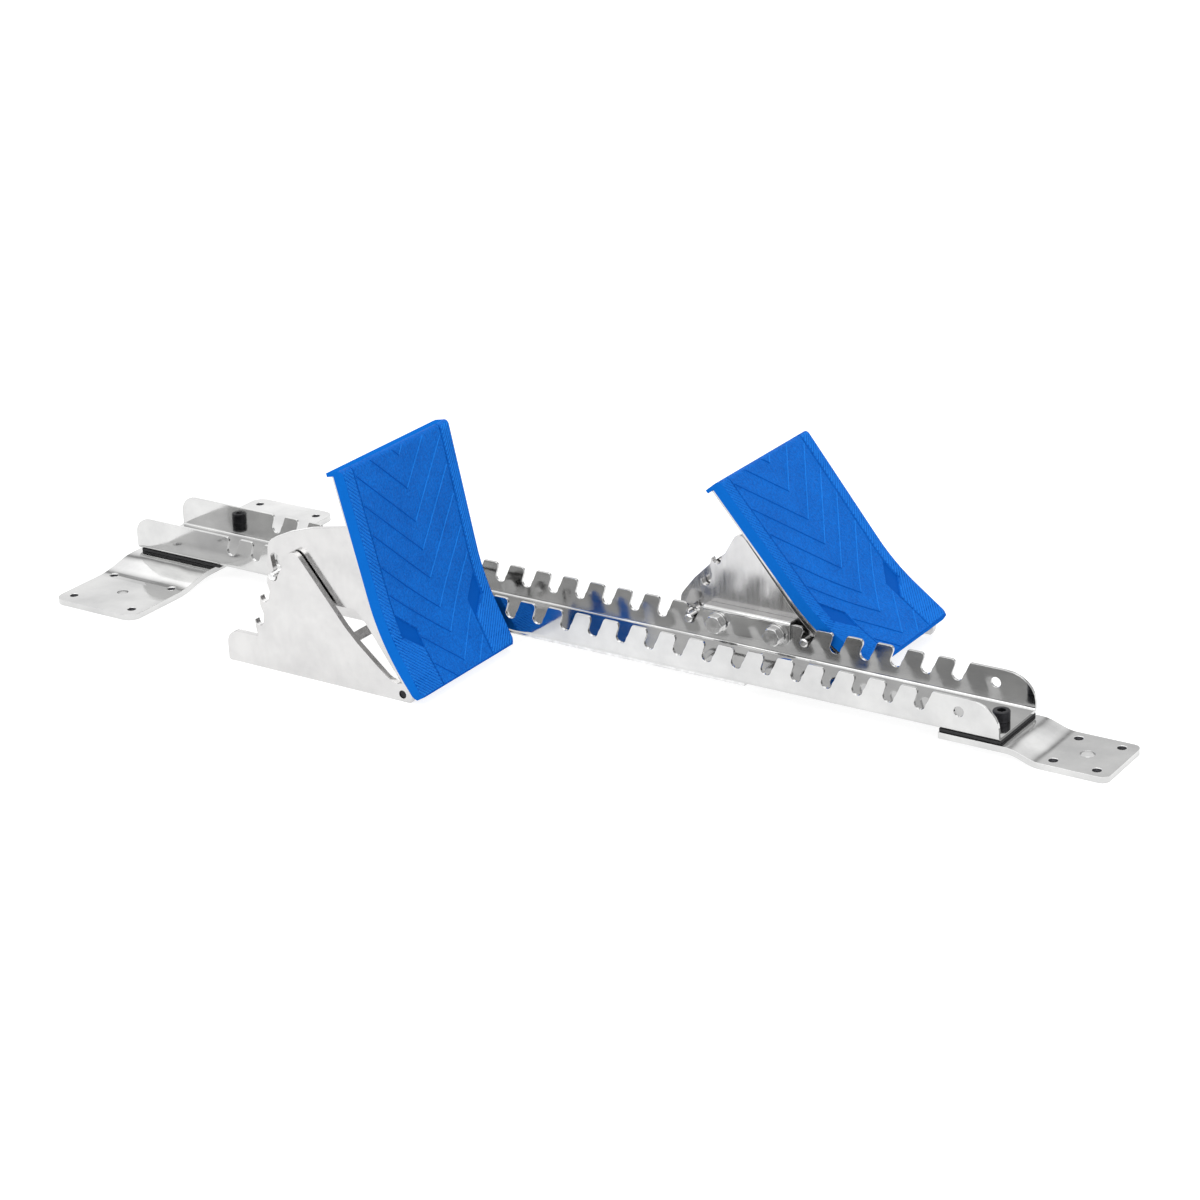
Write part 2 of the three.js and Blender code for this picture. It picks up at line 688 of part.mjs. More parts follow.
// A closed skin through sections of points [across, depth], one section for each distance up
function loft(steps, sectionAt) {
  const sections = steps.map((up) => sectionAt(up).map(([across, depth]) => {
    const [x, z] = pedalPoint(up, depth);
    return [x, pedalCentre + across, z];
  }));
  const count = sections[0].length;
  const index = [];
  for (let i = 0; i < steps.length - 1; i += 1) {
    for (let j = 0; j < count; j += 1) {
      const next = (j + 1) % count;
      const [a, b] = [i * count + j, i * count + next];
      index.push(a, b, b + count, a, b + count, a + count);
    }
  }
  const last = (steps.length - 1) * count;
  for (let j = 1; j < count - 1; j += 1) {
    index.push(0, j + 1, j, last, last + j, last + j + 1);
  }
  const geometry = new THREE.BufferGeometry();
  geometry.setAttribute('position', new THREE.Float32BufferAttribute(sections.flat(2), 3));
  geometry.setIndex(index);
  return geometry;
}

// Where the rubber's rear and its face lie, ahead of the pedal's line
function rubberRear(up) {
  const toe = 1 - THREE.MathUtils.smoothstep(up, 0, rubberToeTaper);
  return (rubberThickness - rubberToeThickness) * toe;
}

function rubberDepth(up) {
  const intoRound = Math.max(rubberTopRound - (pedalLength - up), 0);
  return rubberThickness - rubberTopRound + Math.sqrt(rubberTopRound ** 2 - intoRound ** 2);
}

function makeRubber() {
  const round = arc(0, 0, rubberTopRound, rubberTopRound, 0, Math.PI / 2, 3 * arcStep / 2)
    .map(([, rise]) => pedalLength - rubberTopRound + rise);
  const steps = [...pedalSteps(0, pedalLength - rubberTopRound), ...round.slice(1)];
  const sectionAt = (up) => {
    const half = pedalHalfWidth(up);
    const rear = rubberRear(up);
    const depth = rubberDepth(up) - rear;
    const bevel = rubberSideBevel * depth / rubberThickness;
    const side = rubberSideShares.map(([inwards, out]) => [half - inwards * bevel, rear + out * depth]);
    return [...side, ...side.map(([across, out]) => [-across, out]).reverse()];
  };
  const lipSection = (up) => {
    const half = pedalHalfWidth(up);
    const front = rubberDepth(pedalLength) / 2;
    return [[half, -lipDepth], [half, front], [-half, front], [-half, -lipDepth]];
  };
  const body = toSolid(loft(steps, sectionAt));
  return toGeometry(body.add(toSolid(loft([pedalLength - lipThickness, pedalLength], lipSection))));
}

function makeBackPlate() {
  const top = pedalLength - lipThickness - seatGap;
  return loft(pedalSteps(backPlateFoot, top), (up) => {
    const half = pedalHalfWidth(up) - backPlateInset;
    const rear = -seatGap - backPlateThickness;
    return [[half, rear], [half, -seatGap], [-half, -seatGap], [-half, rear]];
  });
}

// Arms: from the hinge up behind the back plate, and back to the slots of the angle pin
const slotTopAngle = Math.asin((tabTop + seatGap + anglePinRadius) / slotTopOrbit) + frontPedalBack;
const slotBottom = hookCentre(0);
const slotTop = behind(slotTopOrbit, slotTopAngle);

function slotOutline() {
  const radius = anglePinRadius + slotGap;
  const lean = Math.atan2(slotTop[1] - slotBottom[1], slotTop[0] - slotBottom[0]);
  return [
    ...arc(...slotBottom, radius, radius, lean + Math.PI / 2, lean + Math.PI * 3 / 2),
    ...arc(...slotTop, radius, radius, lean - Math.PI / 2, lean + Math.PI / 2),
  ];
}

function armOutline() {
  const rear = -2 * seatGap - backPlateThickness;
  const front = [armFootAlong, ...pedalSteps(rubberToeTaper, armTopAlong)].map((up) => pedalPoint(up, rear));
  const place = ([back, up], radius = 0) => [-back * armReach, up * armRise, radius];
  const edge = rounded([
    front[front.length - 1],
    ...armTopShares.map((share) => place(share, armHeelRadius)),
    place(armHeelShares, armHeelRadius),
    ...armTailShares.map((share) => place(share, armCornerRadius)),
    ...armBellyShares.map((share) => place(share, armCornerRadius)),
    behind(armLugRadius, Math.PI / 4),
  ]);
  const lug = arc(0, 0, armLugRadius, armLugRadius, Math.PI * 3 / 4, Math.PI * 15 / 8);
  return [...front.slice(0, -1), ...edge.slice(0, -1), ...lug];
}

function makeArm(yLow) {
  return plate(armOutline(), yLow, yLow + armThickness,
    [circle(0, 0, hingePinDiameter / 2 + boreGap), slotOutline()]);
}

// The whole object
const blocks = new THREE.Group();

function add(parent, name, geometry, material, mirrored = false) {
  if (mirrored) geometry.scale(1, -1, 1);
  const closed = toGeometry(toSolid(geometry));
  closed.computeVertexNormals();
  const mesh = new THREE.Mesh(closed, material);
  mesh.name = name;
  parent.add(mesh);
}

function addRail() {
  const rearPackingEnd = rearScrewX + rearAnchorLength / 2 + overrun;
  add(blocks, 'rail_channel', makeRail(), zinc);
  add(blocks, 'rear_anchor_plate', makeRearAnchor(), zinc);
  add(blocks, 'front_anchor_plate', makeFrontAnchor(), zinc);
  add(blocks, 'rear_anchor_pad', makePacking(railRearX + packingThickness, rearPackingEnd, rearScrewX), blackRubber);
  add(blocks, 'front_anchor_pad', makePacking(railFrontX - frontAnchorLap, railFrontX, frontScrewX), blackRubber);
  add(blocks, 'centre_support_strip', makeStrip(), steel);
  for (const [end, x] of [['rear', rearScrewX], ['front', frontScrewX]]) {
    add(blocks, `${end}_anchor_screw`, makeScrew(x), blackSteel);
    add(blocks, `${end}_anchor_nut`, makeThinNut(x), blackSteel);
  }
}

function addUnit(unitName, notch, mirrored, pedalBack, pinPlace) {
  const unit = new THREE.Group();
  unit.position.set(firstNotchX + notch * notchPitch + hingePastNotch, 0, hingeHeight);
  blocks.add(unit);
  const put = (name, geometry, material) => add(unit, `${unitName}_${name}`, geometry, material, mirrored);
  put('outer_side_plate', makeOuterPlate(), satin);
  put('inner_side_plate', makeInnerPlate(), satin);
  put('tie_bar', makeTieBar(), steel);
  put('slider_bracket', makeBracket(), zinc);
  ['rear', 'front'].forEach((end, i) => {
    put(`slider_washer_${end}`, makeWasher(boltNotches[i]), zinc);
    put(`slider_bolt_${end}`, makeBolt(boltNotches[i]), steel);
    put(`lock_pin_${end}`, makeLockPin(lockPinNotches[i]), steel);
  });
  put('hinge_pin', barY(0, 0, hingePinDiameter / 2, innerPlateFace + hingePinRecess,
    outerPlateFace - hingePinRecess), blackSteel);

  const pedal = new THREE.Group();
  pedal.rotation.y = -pedalBack;
  unit.add(pedal);
  const fit = (name, geometry, material) => add(pedal, `${unitName}_${name}`, geometry, material, mirrored);
  fit('pedal_back_plate', makeBackPlate(), satin);
  fit('pedal_arm_outer', makeArm(armOuterFace - armThickness), satin);
  fit('pedal_arm_inner', makeArm(armInnerFace), satin);
  fit('rubber_pad', makeRubber(), blueRubber);
  fit('angle_pin', pin(...pinPlace, anglePinRadius, innerPlateFace - anglePinOverhang,
    outerPlateFace + anglePinOverhang, lockPinChamfer), steel);
}

addRail();
addUnit('rear', rearUnitNotch, true, 0, slotBottom);
addUnit('front', frontUnitNotch, false, frontPedalBack, slotTop);

export default blocks;
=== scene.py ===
"""Looks for the track starting blocks: notched rail, ground anchors and two tilting pedals."""
import json
import math

import bmesh
import bpy
import numpy as np
from mathutils import Matrix, Vector
from mathutils.geometry import delaunay_2d_cdt


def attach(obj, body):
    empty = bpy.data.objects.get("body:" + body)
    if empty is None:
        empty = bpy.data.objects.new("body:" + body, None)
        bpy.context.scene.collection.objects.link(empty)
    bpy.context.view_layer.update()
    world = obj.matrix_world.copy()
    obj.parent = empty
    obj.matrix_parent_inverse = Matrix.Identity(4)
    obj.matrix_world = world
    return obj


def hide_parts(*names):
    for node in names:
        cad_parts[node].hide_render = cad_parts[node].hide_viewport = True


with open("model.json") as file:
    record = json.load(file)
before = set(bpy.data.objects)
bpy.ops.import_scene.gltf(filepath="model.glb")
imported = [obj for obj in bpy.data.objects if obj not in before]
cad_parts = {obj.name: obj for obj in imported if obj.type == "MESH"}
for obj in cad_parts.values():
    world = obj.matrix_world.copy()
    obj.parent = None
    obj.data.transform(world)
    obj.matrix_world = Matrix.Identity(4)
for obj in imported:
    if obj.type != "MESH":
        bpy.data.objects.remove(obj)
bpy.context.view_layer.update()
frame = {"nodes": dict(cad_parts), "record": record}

# The camera comes first: the photograph's place, turn and lens
CAMERA_PLACE = Vector((1.2306, -1.8060, 0.9342))
CAMERA_AZIMUTH = math.radians(34.15)
CAMERA_ELEVATION = math.radians(22.23)
CAMERA_ROLL = math.radians(-2.23)
CAMERA_LENS = 92.0
CAMERA_SENSOR = 36.0
CAMERA_NEAREST = 0.05


def make_camera():
    forward = Vector((
        -math.sin(CAMERA_AZIMUTH) * math.cos(CAMERA_ELEVATION),
        math.cos(CAMERA_AZIMUTH) * math.cos(CAMERA_ELEVATION),
        -math.sin(CAMERA_ELEVATION),
    ))
    level = forward.cross(Vector((0, 0, 1))).normalized()
    above = level.cross(forward)
    right = level * math.cos(CAMERA_ROLL) + above * math.sin(CAMERA_ROLL)
    up = above * math.cos(CAMERA_ROLL) - level * math.sin(CAMERA_ROLL)
    data = bpy.data.cameras.new("photo_camera")
    data.lens = CAMERA_LENS
    data.sensor_width = CAMERA_SENSOR
    data.sensor_fit = "HORIZONTAL"
    data.clip_start = CAMERA_NEAREST
    camera = bpy.data.objects.new("photo_camera", data)
    turn = Matrix((right, up, -forward)).transposed().to_4x4()
    camera.matrix_world = Matrix.Translation(CAMERA_PLACE) @ turn
    bpy.context.scene.collection.objects.link(camera)
    bpy.context.scene.camera = camera


make_camera()

# Sizes in millimetres, the same as in the part's source
MM = 0.001
HINGE_X = {"rear": -72.56, "front": 206.84}
HINGE_Z = 5.8
PEDAL_BACK = {"rear": 0.0, "front": math.radians(26.4)}
MIRRORED = {"rear": -1.0, "front": 1.0}
FOOT_AHEAD = 13.7
FOOT_DROP = 1.7
LOW_LENGTH = 34.4
BEND_LENGTH = 49.8
TOP_LENGTH = 100.3
LOW_SLOPE = math.radians(61.4)
TOP_SLOPE = math.radians(76.7)
PEDAL_CENTRE = 95.3
TOP_WIDTH = 135.8
FOOT_WIDTH = 125.2
TOE_CUT = 3.0
TOE_LENGTH = 5.0
TOE_POWER = 1.6
RUBBER = 8.0
TOE_RUBBER = 6.2
TOE_TAPER = 28.0
SIDE_DRAFT = 2.0
TOP_ROUND = 4.0
LIP_DEPTH = 6.0
LIP_THICKNESS = 3.0
PEDAL_LENGTH = LOW_LENGTH + BEND_LENGTH + TOP_LENGTH


# ---------------------------------------------------------------- materials
# Most of a noise texture's values lie between these
NOISE_LOW = 0.3
NOISE_HIGH = 0.7


def set_range(node, from_low, from_high, low, high):
    """The limits of a map range node."""
    limits = {"From Min": from_low, "From Max": from_high, "To Min": low, "To Max": high}
    for key, value in limits.items():
        node.inputs[key].default_value = value


class Finish:
    """A node-based material under construction."""

    def __init__(self, name):
        self.material = bpy.data.materials.new(name)
        self.material.use_nodes = True
        self.tree = self.material.node_tree
        self.shader = self.tree.nodes["Principled BSDF"]
        self.coordinates = self.node("ShaderNodeTexCoord").outputs["Object"]

    def node(self, kind, **settings):
        made = self.tree.nodes.new(kind)
        for key, value in settings.items():
            setattr(made, key, value)
        return made

    def link(self, source, target):
        self.tree.links.new(source, target)

    def set(self, **values):
        for key, value in values.items():
            self.shader.inputs[key.replace("_", " ")].default_value = value

    def stretched(self, scale):
        mapping = self.node("ShaderNodeMapping")
        mapping.inputs["Scale"].default_value = scale
        self.link(self.coordinates, mapping.inputs["Vector"])
        return mapping.outputs["Vector"]

    def noise(self, scale, detail, roughness, stretch=(1, 1, 1)):
        texture = self.node("ShaderNodeTexNoise")
        texture.inputs["Scale"].default_value = scale
        texture.inputs["Detail"].default_value = detail
        texture.inputs["Roughness"].default_value = roughness
        self.link(self.stretched(stretch), texture.inputs["Vector"])
        return texture.outputs["Fac"]

    def span(self, source, low, high):
        """Noise brought to the range from low to high."""
        ranged = self.node("ShaderNodeMapRange")
        set_range(ranged, NOISE_LOW, NOISE_HIGH, low, high)
        self.link(source, ranged.inputs["Value"])
        return ranged.outputs["Result"]

    def blend(self, share, low, high):
        mixed = self.node("ShaderNodeMix", data_type="RGBA")
        mixed.inputs["A"].default_value = (*low, 1)
        mixed.inputs["B"].default_value = (*high, 1)
        self.link(share, mixed.inputs["Factor"])
        return mixed.outputs["Result"]

    def color(self, share, low, high):
        """Base colour that runs from low to high with the share."""
        self.link(self.blend(share, low, high), self.shader.inputs["Base Color"])

    def roughness(self, source):
        self.link(source, self.shader.inputs["Roughness"])

    def bump(self, height, distance):
        bumped = self.node("ShaderNodeBump")
        bumped.inputs["Distance"].default_value = distance
        self.link(height, bumped.inputs["Height"])
        self.link(bumped.outputs["Normal"], self.shader.inputs["Normal"])


def bright_zinc():
    finish = Finish("bright_zinc")
    finish.set(Metallic=1.0)
    blotch = finish.noise(26, 4, 0.6)
    rolled = finish.noise(240, 3, 0.5, (0.06, 1, 1))
    finish.color(finish.span(blotch, 0, 1), (0.52, 0.52, 0.52), (0.648, 0.648, 0.643))
    finish.roughness(finish.span(rolled, 0.05, 0.12))
    finish.bump(finish.noise(16, 1, 0.5), 0.0012)
    return finish.material


def satin_zinc():
    finish = Finish("satin_zinc")
    finish.set(Metallic=1.0)
    blotch = finish.noise(38, 5, 0.65)
    rolled = finish.noise(300, 3, 0.5, (1, 1, 0.08))
    finish.color(finish.span(blotch, 0, 1), (0.55, 0.545, 0.545), (0.645, 0.64, 0.635))
    finish.roughness(finish.span(rolled, 0.13, 0.24))
    finish.bump(finish.noise(12, 1, 0.5), 0.0006)
    return finish.material


def plain_steel():
    finish = Finish("plain_steel")
    finish.set(Metallic=1.0)
    blotch = finish.noise(160, 3, 0.6)
    finish.color(finish.span(blotch, 0, 1), (0.58, 0.58, 0.58), (0.84, 0.84, 0.84))
    finish.roughness(finish.span(blotch, 0.12, 0.22))
    finish.bump(blotch, 0.0001)
    return finish.material


def black_oxide():
    finish = Finish("black_oxide")
    finish.set(Metallic=0.7)
    blotch = finish.noise(240, 3, 0.6)
    finish.color(finish.span(blotch, 0, 1), (0.012, 0.012, 0.014), (0.035, 0.035, 0.04))
    finish.roughness(finish.span(blotch, 0.32, 0.5))
    finish.bump(blotch, 0.00008)
    return finish.material


def black_packing():
    finish = Finish("black_packing")
    grain = finish.noise(900, 2, 0.6)
    finish.color(finish.span(grain, 0, 1), (0.012, 0.012, 0.013), (0.024, 0.024, 0.026))
    finish.set(Roughness=0.75)
    finish.bump(grain, 0.00012)
    return finish.material


# Shares of the fine grain and of the broad clouds in the rubber's tone
GRAIN_SHARE = 0.7
CLOUD_SHARE = 0.3
ROUGHNESS_SPREAD = 0.06


def blue_tread(name, low, high, grain_height, roughness, gloss):
    finish = Finish(name)
    grain = finish.noise(620, 2, 0.6)
    cloud = finish.noise(35, 3, 0.6)
    tone = finish.node("ShaderNodeMath", operation="MULTIPLY_ADD")
    finish.link(finish.span(grain, 0, 1), tone.inputs[0])
    tone.inputs[1].default_value = GRAIN_SHARE
    finish.link(finish.span(cloud, 0, CLOUD_SHARE), tone.inputs[2])
    finish.color(tone.outputs["Value"], low, high)
    finish.roughness(finish.span(grain, roughness - ROUGHNESS_SPREAD, roughness + ROUGHNESS_SPREAD))
    finish.bump(grain, grain_height)
    finish.set(IOR=1.5, Specular_IOR_Level=gloss)
    return finish.material


FINISHES = {
    "zinc": bright_zinc(),
    "satin_plate": satin_zinc(),
    "steel": plain_steel(),
    "black_steel": black_oxide(),
    "black_rubber": black_packing(),
    "blue_rubber": blue_tread("blue_tread", (0.002, 0.076, 0.365), (0.005, 0.152, 0.61),
                              0.0010, 0.6, 0.06),
}
SMOOTH_BLUE = blue_tread("smooth_blue", (0.004, 0.112, 0.46), (0.005, 0.124, 0.50),
                         0.00005, 0.45, 0.0)
# Lighter copy of the tread: painted highlight on the ribs and on one half of the chevron lines
PAINTED_LIGHT_BLUE = blue_tread("ridge_blue", (0.006, 0.138, 0.51), (0.012, 0.190, 0.66),
                        0.0002, 0.5, 0.06)
# Darker copy of the tread: painted shade between the ribs, on the pockets' floors and on the other
# half of the chevron lines
PAINTED_SHADE_BLUE = blue_tread("pocket_blue", (0.001, 0.072, 0.36), (0.002, 0.080, 0.39),
                         0.00004, 0.42, 0.02)

# ---------------------------------------------------------------- metal pieces from the frame
EDGE_ROUND = {"zinc": 0.25, "satin_plate": 0.25, "steel": 0.2, "black_steel": 0.2,
              "black_rubber": 0.25, "blue_rubber": 0.3}
WELD_DISTANCE = 0.00001
FLAT_ANGLE = math.radians(0.6)
EDGE_ANGLE = math.radians(32)
EDGE_SEGMENTS = 2
NORMALS_WEIGHT = 90


def dress_nodes():
    """Finish and softly rounded edges on every piece of the frame."""
    slots = {part["node"]: part["material_slot"] for part in frame["record"]["subparts"]}
    for name, piece in frame["nodes"].items():
        slot = slots[name]
        piece.data.materials.clear()
        piece.data.materials.append(FINISHES[slot])
        piece.data.polygons.foreach_set("use_smooth", [True] * len(piece.data.polygons))
        weld = piece.modifiers.new("weld", "WELD")
        weld.merge_threshold = WELD_DISTANCE
        flat = piece.modifiers.new("flat", "DECIMATE")
        flat.decimate_type = "DISSOLVE"
        flat.angle_limit = FLAT_ANGLE
        edge = piece.modifiers.new("edge", "BEVEL")
        edge.limit_method = "ANGLE"
        edge.angle_limit = EDGE_ANGLE
        edge.width = EDGE_ROUND[slot] * MM
        edge.segments = EDGE_SEGMENTS
        edge.use_clamp_overlap = False
        edge.harden_normals = False
        normals = piece.modifiers.new("normals", "WEIGHTED_NORMAL")
        normals.keep_sharp = False
        normals.weight = NORMALS_WEIGHT


dress_nodes()


# ---------------------------------------------------------------- pedal rubber
def pedal_point(up, depth):
    """Place in X and Z about the hinge, up the pedal's line and out from it."""
    share = np.clip((up - LOW_LENGTH) / BEND_LENGTH, 0, 1)
    slope = LOW_SLOPE + (TOP_SLOPE - LOW_SLOPE) * share
    bend = BEND_LENGTH / (TOP_SLOPE - LOW_SLOPE)
    low = np.minimum(up, LOW_LENGTH)
    top = np.maximum(up - LOW_LENGTH - BEND_LENGTH, 0)
    x = (FOOT_AHEAD - low * math.cos(LOW_SLOPE)
         - bend * (np.sin(slope) - math.sin(LOW_SLOPE)) - top * math.cos(TOP_SLOPE))
    z = (-FOOT_DROP + low * math.sin(LOW_SLOPE)
         + bend * (math.cos(LOW_SLOPE) - np.cos(slope)) + top * math.sin(TOP_SLOPE))
    return x + depth * np.sin(slope), z + depth * np.cos(slope)


def place_on_pedal(unit, across, up, depth):
    """Rows of X, Y and Z in metres for points on a unit's pedal."""
    x, z = pedal_point(np.asarray(up, float), np.asarray(depth, float))
    lean = PEDAL_BACK[unit]
    turned_x = x * math.cos(lean) - z * math.sin(lean)
    turned_z = x * math.sin(lean) + z * math.cos(lean)
    y = MIRRORED[unit] * (PEDAL_CENTRE + np.asarray(across, float))
    return np.stack([turned_x + HINGE_X[unit], y, turned_z + HINGE_Z], -1) * MM


def half_width(up):
    """Half the pad's width at its rear, narrower at the toe."""
    straight = FOOT_WIDTH + (TOP_WIDTH - FOOT_WIDTH) * up / PEDAL_LENGTH
    toe = np.maximum(1 - up / TOE_LENGTH, 0)
    return straight / 2 - TOE_CUT * toe ** TOE_POWER


def rear_depth(up):
    """Depth of the pad's rear, which rises at the thinner toe."""
    share = np.clip(up / TOE_TAPER, 0, 1)
    return (RUBBER - TOE_RUBBER) * (1 - share * share * (3 - 2 * share))


# Distance along the face: up to the top round, and on over it
FACE_END = PEDAL_LENGTH - TOP_ROUND
BAR_OVERRUN = 2.0
BAR_END = FACE_END + BAR_OVERRUN
OVER_END = FACE_END + TOP_ROUND * math.pi / 2


def face_place(along):
    """Up and depth of the face at a distance along it."""
    along = np.asarray(along, float)
    turn = np.clip((along - FACE_END) / TOP_ROUND, 0, math.pi / 2)
    up = np.minimum(along, FACE_END) + TOP_ROUND * np.sin(turn)
    return up, RUBBER - TOP_ROUND + TOP_ROUND * np.cos(turn)


def face_half(along):
    """Half the face's width at a distance along it."""
    up, depth = face_place(along)
    return half_width(up) - SIDE_DRAFT * depth / RUBBER


# Recess down each side of the face: a groove, a four-sided pocket and a groove to the toe
RECESS = [
    (53.5, 186.2), (50.0, 66.5), (32.4, 48.5), (32.7, 33.0), (31.5, 1.2),
    (32.6, 1.2), (33.8, 32.4), (51.2, 48.3), (51.1, 66.5), (54.6, 186.2),
]
RECESS_OUTER = list(zip(*RECESS[5:]))
RECESS_DEPTH = 1.1
RECESS_WALL = 0.35
POCKET_LOW = 31.0
POCKET_HIGH = 67.0
# Share of the recess depth from which a corner counts as being on the pocket's floor
SUNK_SHARE = 0.9


def inset(loop, distance):
    """The loop moved inwards by a distance, with mitred corners."""
    points = [Vector(p) for p in loop]
    area = sum(a.x * b.y - b.x * a.y for a, b in zip(points, points[1:] + points[:1]))
    side = 1 if area > 0 else -1
    moved = []
    for i, point in enumerate(points):
        into = (point - points[i - 1]).normalized()
        away = (points[(i + 1) % len(points)] - point).normalized()
        normal_in = Vector((-into.y, into.x)) * side
        normal_away = Vector((-away.y, away.x)) * side
        mitre = (normal_in + normal_away).normalized()
        moved.append(point + mitre * distance / max(mitre.dot(normal_in), 0.3))
    return [tuple(p) for p in moved]


def depth_into(loop, points):
    """Distance of each point inside the loop from its outline, 0 outside."""
    inside = np.zeros(len(points), bool)
    nearest = np.full(len(points), 1e9)
    for (ax, ay), (bx, by) in zip(loop, loop[1:] + loop[:1]):
        edge = np.array([bx - ax, by - ay])
        offset = points - np.array([ax, ay])
        share = np.clip(offset @ edge / (edge @ edge), 0, 1)
        nearest = np.minimum(nearest, np.linalg.norm(offset - share[:, None] * edge, axis=1))
        crosses = (ay > points[:, 1]) != (by > points[:, 1])
        with np.errstate(divide="ignore", invalid="ignore"):
            hit = points[:, 0] < (bx - ax) * (points[:, 1] - ay) / (by - ay) + ax
        inside ^= crosses & hit
    return np.where(inside, nearest, 0.0)


def face_mesh(rows):
    """Points along and across the face with their depth below it, and its triangles."""
    left = [(-float(face_half(s)), s) for s in rows]
    right = [(float(face_half(s)), s) for s in rows]
    points = left + right
    count = len(rows)
    outline = list(range(count, 2 * count)) + list(range(count - 1, -1, -1))
    edges = [(i, i + count) for i in range(1, count - 1)]
    for mirror in (1, -1):
        ring = [(mirror * across, along) for across, along in RECESS]
        for loop in (ring, inset(ring, RECESS_WALL)):
            first = len(points)
            points += loop
            edges += [(first + i, first + (i + 1) % len(loop)) for i in range(len(loop))]
    flat, _, faces, *_ = delaunay_2d_cdt([Vector(p) for p in points], edges, [outline], 1, 1e-5)
    flat = np.array([tuple(p) for p in flat])
    into = np.zeros(len(flat))
    for mirror in (1, -1):
        ring = [(mirror * across, along) for across, along in RECESS]
        into = np.maximum(into, depth_into(ring, flat))
    return flat, RECESS_DEPTH * np.clip(into / RECESS_WALL, 0, 1), faces


BEND_STEPS = 12
TOP_STEPS = 5
ROUND_STEPS = 6


def pad_rows():
    """Distances along the face of the pad's rows of points, below and over the top round."""
    low = [0, 0.8, 1.8, 3.2, TOE_LENGTH, 9, 14, 20, TOE_TAPER, LOW_LENGTH]
    bend = [LOW_LENGTH + BEND_LENGTH * i / BEND_STEPS for i in range(1, BEND_STEPS + 1)]
    top = [bend[-1] + (FACE_END - bend[-1]) * i / TOP_STEPS for i in range(1, TOP_STEPS + 1)]
    over = [FACE_END + TOP_ROUND * math.pi / 2 * i / ROUND_STEPS for i in range(1, ROUND_STEPS + 1)]
    return low + bend + top, over


def make_pad(unit):
    """Rubber pad: tread face, drafted sides, rolled top with its lip, and flat rear."""
    rows, over = pad_rows()
    flat, sunk, triangles = face_mesh(rows + over)
    up, depth = face_place(flat[:, 1])
    stations = [np.stack([flat[:, 0], up, depth - sunk], 1)]
    faces = [tuple(t) for t in triangles]
    # Faces on a pocket's floor and faces between the ribs get the darker blue: painted shade
    shaded = []
    for t in triangles:
        across, along = np.abs(flat[list(t), 0]).mean(), flat[list(t), 1].mean()
        on_floor = all(sunk[i] > SUNK_SHARE * RECESS_DEPTH for i in t)
        pocket = on_floor and POCKET_LOW < along < POCKET_HIGH
        ribbed = along < BAR_END and across > np.interp(along, RECESS_OUTER[1], RECESS_OUTER[0])
        shaded.append(pocket or (ribbed and max(sunk[i] for i in t) == 0))
    tread_count = len(faces)

    def corner(at_across, at_up, at_depth):
        stations.append(np.array([[at_across, at_up, at_depth]]))
        return sum(len(s) for s in stations) - 1

    ring = []
    for side in (-1, 1):
        face_edge = []
        for along in rows + over:
            row_up, row_depth = face_place(along)
            across = side * float(face_half(along))
            face_edge.append(corner(across, float(row_up), float(row_depth)))
        rear = [corner(side * float(half_width(s)), s, float(rear_depth(s))) for s in rows]
        wide = float(half_width(PEDAL_LENGTH))
        lip = [corner(side * wide, PEDAL_LENGTH, -LIP_DEPTH),
               corner(side * wide, PEDAL_LENGTH - LIP_THICKNESS, -LIP_DEPTH),
               corner(side * wide, PEDAL_LENGTH - LIP_THICKNESS, 0)]
        for i in range(len(rows) - 1):
            faces.append((face_edge[i], face_edge[i + 1], rear[i + 1], rear[i]))
        faces.append((*face_edge[len(rows) - 1:], *lip, rear[-1]))
        ring.append([face_edge[-1], *lip, *rear[::-1], face_edge[0]])
    for i in range(len(ring[0]) - 1):
        faces.append((ring[0][i], ring[0][i + 1], ring[1][i + 1], ring[1][i]))

    rows_of = np.concatenate(stations)
    mesh = bpy.data.meshes.new(f"{unit}_pedal_rubber")
    placed = place_on_pedal(unit, rows_of[:, 0], rows_of[:, 1], rows_of[:, 2])
    mesh.from_pydata(placed.tolist(), [], faces)
    for rubber in (FINISHES["blue_rubber"], SMOOTH_BLUE, PAINTED_SHADE_BLUE):
        mesh.materials.append(rubber)
    index = [2 if flag else 0 for flag in shaded] + [1] * (len(faces) - tread_count)
    mesh.polygons.foreach_set("material_index", index)
    return finish_piece(mesh, f"{unit}_pedal_rubber", FORM_SHARP)


# Edges at or above these angles, in degrees, stay sharp
FORM_SHARP = 35
BAR_SHARP = 70
MERGE_DISTANCE = 0.000002


def finish_piece(mesh, name, sharp_degrees):
    """Merge, point the faces outwards and set which edges stay sharp."""
    work = bmesh.new()
    work.from_mesh(mesh)
    bmesh.ops.remove_doubles(work, verts=work.verts, dist=MERGE_DISTANCE)
    bmesh.ops.recalc_face_normals(work, faces=work.faces)
    for face in work.faces:
        face.smooth = True
    limit = math.radians(sharp_degrees)
    for edge in work.edges:
        edge.smooth = len(edge.link_faces) == 2 and edge.calc_face_angle(0) < limit
    work.to_mesh(mesh)
    work.free()
    piece = bpy.data.objects.new(name, mesh)
    bpy.context.scene.collection.objects.link(piece)
    return piece


# Ribs and fine chevron lines on the face, as lines along and across it
RIB_PITCH = 3.3
RIB_RADIUS = 1.1
RIB_SINK = 0.35
RIB_MARGIN = 0.9
EDGE_MARGIN = 0.75
LINE_RADIUS = 0.9
LINE_SINK = 0.35
BAR_STEP = 2.0
BAR_SIDES = 4
SHORTEST_BAR = 1.5
TREAD_FOOT = 1.6
RIB_START = -70.0
SLANT = (math.sqrt(0.5), math.sqrt(0.5))
# Keeps a chevron's start off the centre line, where the region's own edge lies
OFF_CENTRE = 0.0001
CHEVRON_APEXES = [-13.0, 8.9, 32.7, 53.9, 78.9, 101.4, 123.9, 150.2, 176.4]


